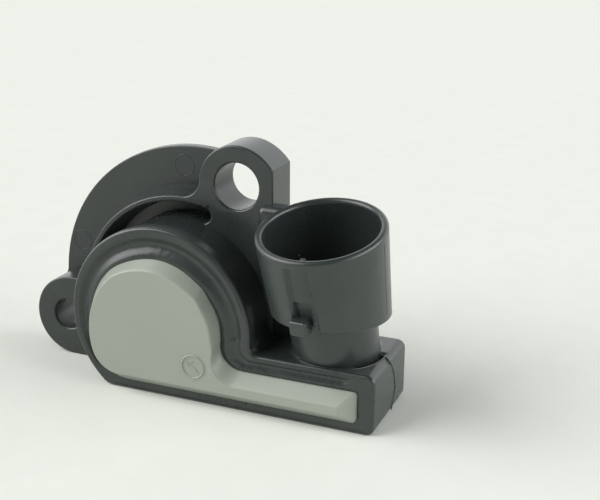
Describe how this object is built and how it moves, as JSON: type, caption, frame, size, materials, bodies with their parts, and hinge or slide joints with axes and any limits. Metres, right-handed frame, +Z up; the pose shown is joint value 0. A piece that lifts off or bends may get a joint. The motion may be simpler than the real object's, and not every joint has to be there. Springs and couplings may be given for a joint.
{
  "type": "throttle position sensor",
  "caption": "Rotary throttle position sensor: black moulded body with two screw ears, grey rear cover, sprung drive socket in a pilot collar and a leaning round connector.",
  "frame": {"origin": "on the rotor axis, in the plane of the mounting face", "axes": "+X along the connector foot, +Y along the rotor axis out of the pilot collar, +Z up from the flat base"},
  "size_m": [0.0708, 0.0277, 0.0437],
  "materials": {
    "housing": "satin moulded, lightly grained",
    "rear_cover": "satin moulded",
    "sealant": "matt",
    "board": "matt ceramic-filled board",
    "track": "matt carbon print",
    "conductor": "satin silver print",
    "rivet": "satin",
    "terminal": "tin plated",
    "potting": "matt",
    "rotor": "satin moulded",
    "wiper": "bright",
    "spring": "bright drawn"
  },
  "bodies": {
    "sensor_body": {"housing": "housing", "rear_cover": "rear_cover", "cover_sealant": "sealant", "element_board": "board", "resistive_track": "track", "collector_track": "track", "conductor_a": "conductor", "conductor_b": "conductor", "conductor_c": "conductor", "rivet_a": "rivet", "rivet_b": "rivet", "rivet_c": "rivet", "terminal_a": "terminal", "terminal_b": "terminal", "terminal_c": "terminal", "terminal_seal": "potting", "return_spring": "spring", "wave_washer": "spring"},
    "rotor_body": {"rotor": "rotor", "wiper": "wiper"}
  },
  "joints": [
    {"name": "rotor_turn", "type": "hinge", "parent": "sensor_body", "child": "rotor_body", "pos_m": [0, 0, 0], "axis": [0, 1, 0], "range_deg": [0, 95], "stiffness_Nm_per_rad": 0.006, "springref_deg": -57.3, "deforming": ["return_spring"]}
  ]
}
